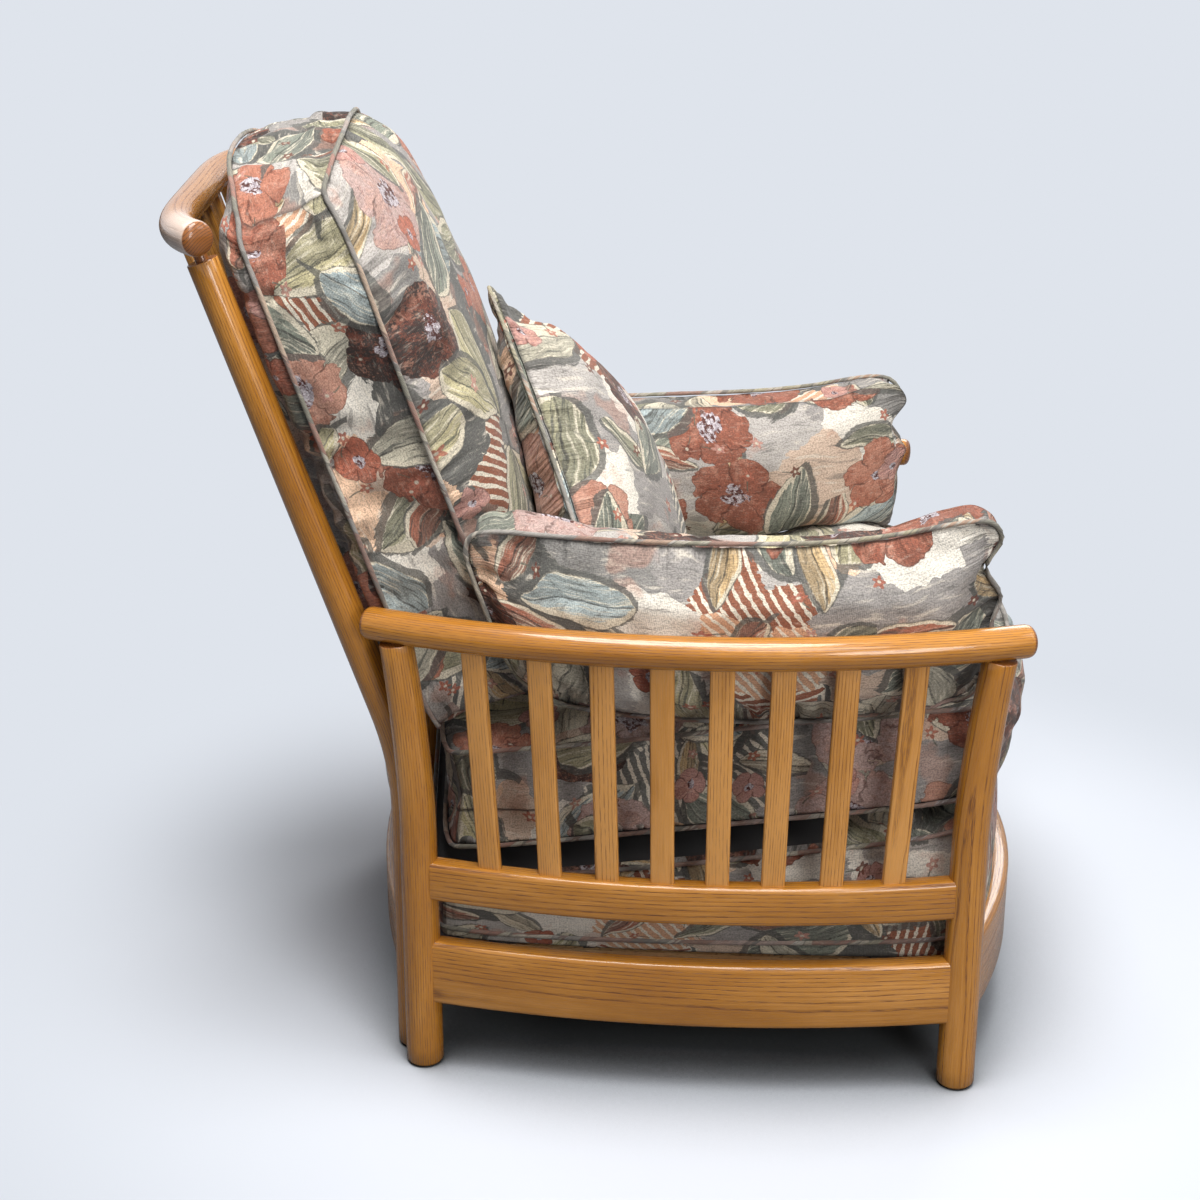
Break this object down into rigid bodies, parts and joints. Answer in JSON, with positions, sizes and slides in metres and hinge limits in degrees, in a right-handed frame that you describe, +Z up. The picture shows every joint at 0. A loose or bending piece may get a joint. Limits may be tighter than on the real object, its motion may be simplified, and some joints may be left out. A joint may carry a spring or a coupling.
{
  "type": "easy chair",
  "caption": "Easy chair with bowed, slatted ash arm frames, swept back posts under a hooked top rail, an upholstered base and loose piped cushions in floral tapestry.",
  "frame": {"origin": "on the floor, under the middle of the chair's overall box", "axes": "+Z up, the chair faces -Y, X runs across it with its left arm at +X"},
  "size_m": [0.8062, 0.9694, 1.0246],
  "materials": {
    "golden_ash": "golden ash with a satin lacquer, ring-porous grain along each piece, darker end grain",
    "plain_beech": "plain sanded beech, unstained, hidden under the base",
    "black_webbing": "woven black seat webbing",
    "floral_tapestry": "matt woven tapestry in greys, cream, sage and terracotta with grey piping",
    "zinc_plated_steel": "zinc-plated bolt heads"
  },
  "bodies": {
    "root": {"front_leg_left": "golden_ash", "front_leg_right": "golden_ash", "rear_leg_left": "golden_ash", "rear_leg_right": "golden_ash", "arm_rail_left": "golden_ash", "arm_rail_right": "golden_ash", "middle_rail_left": "golden_ash", "middle_rail_right": "golden_ash", "lower_rail_left": "golden_ash", "lower_rail_right": "golden_ash", "arm_slat_left_1": "golden_ash", "arm_slat_left_2": "golden_ash", "arm_slat_left_3": "golden_ash", "arm_slat_left_4": "golden_ash", "arm_slat_left_5": "golden_ash", "arm_slat_left_6": "golden_ash", "arm_slat_left_7": "golden_ash", "arm_slat_left_8": "golden_ash", "arm_slat_right_1": "golden_ash", "arm_slat_right_2": "golden_ash", "arm_slat_right_3": "golden_ash", "arm_slat_right_4": "golden_ash", "arm_slat_right_5": "golden_ash", "arm_slat_right_6": "golden_ash", "arm_slat_right_7": "golden_ash", "arm_slat_right_8": "golden_ash", "back_post_left": "golden_ash", "back_post_right": "golden_ash", "top_rail": "golden_ash", "back_mid_rail": "golden_ash", "back_low_rail": "golden_ash", "back_slat_1": "golden_ash", "back_slat_2": "golden_ash", "back_slat_3": "golden_ash", "back_slat_4": "golden_ash", "back_slat_5": "golden_ash", "back_slat_6": "golden_ash", "front_rail": "golden_ash", "seat_bearer_left": "plain_beech", "seat_bearer_right": "plain_beech", "seat_bearer_front": "plain_beech", "seat_bearer_rear": "plain_beech", "seat_strap_1": "black_webbing", "seat_strap_2": "black_webbing", "seat_strap_3": "black_webbing", "seat_strap_4": "black_webbing", "seat_strap_5": "black_webbing", "seat_base": "floral_tapestry", "seat_cushion": "floral_tapestry", "back_cushion": "floral_tapestry", "arm_cushion_left": "floral_tapestry", "arm_cushion_right": "floral_tapestry", "scatter_cushion": "floral_tapestry", "post_bolt_left_low": "zinc_plated_steel", "post_bolt_left_high": "zinc_plated_steel", "post_bolt_right_low": "zinc_plated_steel", "post_bolt_right_high": "zinc_plated_steel"}
  },
  "joints": []
}
